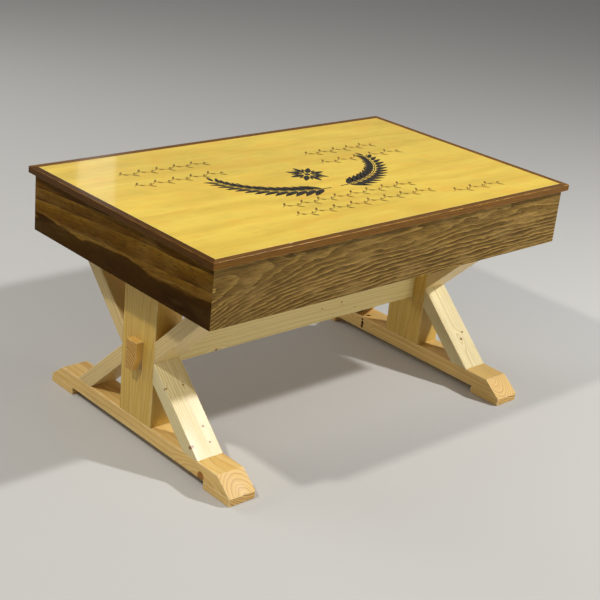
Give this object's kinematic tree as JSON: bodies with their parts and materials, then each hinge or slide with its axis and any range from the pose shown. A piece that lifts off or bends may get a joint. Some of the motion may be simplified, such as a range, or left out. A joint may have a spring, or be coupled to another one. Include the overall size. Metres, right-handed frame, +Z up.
{
  "type": "kneeling bench",
  "caption": "Low trestle-base prayer bench: K-braced pine legs on padded feet, a through stretcher, a deep stained box and a hinged, edge-trimmed lid.",
  "frame": {"origin": "on the floor under the middle of the bench", "axes": "+X along the length, +Y to the hinged back, +Z up"},
  "size_m": [1.154, 0.72, 0.586],
  "materials": {
    "clear_pine": "clear satin varnish",
    "stained_pine": "dark walnut stain, satin",
    "lid_veneer": "amber gloss varnish on plywood",
    "trim_stain": "red-brown stain, gloss",
    "floor_ply": "bare plywood",
    "hinge_steel": "zinc plated"
  },
  "bodies": {
    "bench": {"box_front": "stained_pine", "box_back": "stained_pine", "box_left": "stained_pine", "box_right": "stained_pine", "box_floor": "floor_ply", "cleat_front": "clear_pine", "cleat_back": "clear_pine", "cleat_left": "clear_pine", "cleat_right": "clear_pine", "bolster_left": "clear_pine", "bolster_right": "clear_pine", "hinge_left_box_leaf": "hinge_steel", "hinge_left_pin": "hinge_steel", "hinge_right_box_leaf": "hinge_steel", "hinge_right_pin": "hinge_steel", "hinge_screws_box": "hinge_steel", "left_foot": "clear_pine", "left_pad_front": "clear_pine", "left_pad_back": "clear_pine", "left_post_front": "clear_pine", "left_post_back": "clear_pine", "left_post_upper": "clear_pine", "left_post_lower": "clear_pine", "left_brace_low_front": "clear_pine", "left_brace_low_back": "clear_pine", "left_brace_up_front": "clear_pine", "left_brace_up_back": "clear_pine", "right_foot": "clear_pine", "right_pad_front": "clear_pine", "right_pad_back": "clear_pine", "right_post_front": "clear_pine", "right_post_back": "clear_pine", "right_post_upper": "clear_pine", "right_post_lower": "clear_pine", "right_brace_low_front": "clear_pine", "right_brace_low_back": "clear_pine", "right_brace_up_front": "clear_pine", "right_brace_up_back": "clear_pine", "stretcher": "clear_pine"},
    "lid": {"lid_panel": "lid_veneer", "lid_trim_front": "trim_stain", "lid_trim_back": "trim_stain", "lid_trim_left": "trim_stain", "lid_trim_right": "trim_stain", "hinge_left_lid_leaf": "hinge_steel", "hinge_right_lid_leaf": "hinge_steel", "hinge_screws_lid": "hinge_steel"}
  },
  "joints": [
    {"name": "lid_hinge", "type": "hinge", "parent": "bench", "child": "lid", "pos_m": [0, 0.3399, 0.57], "axis": [-1, 0, 0], "range_deg": [0, 110]}
  ]
}
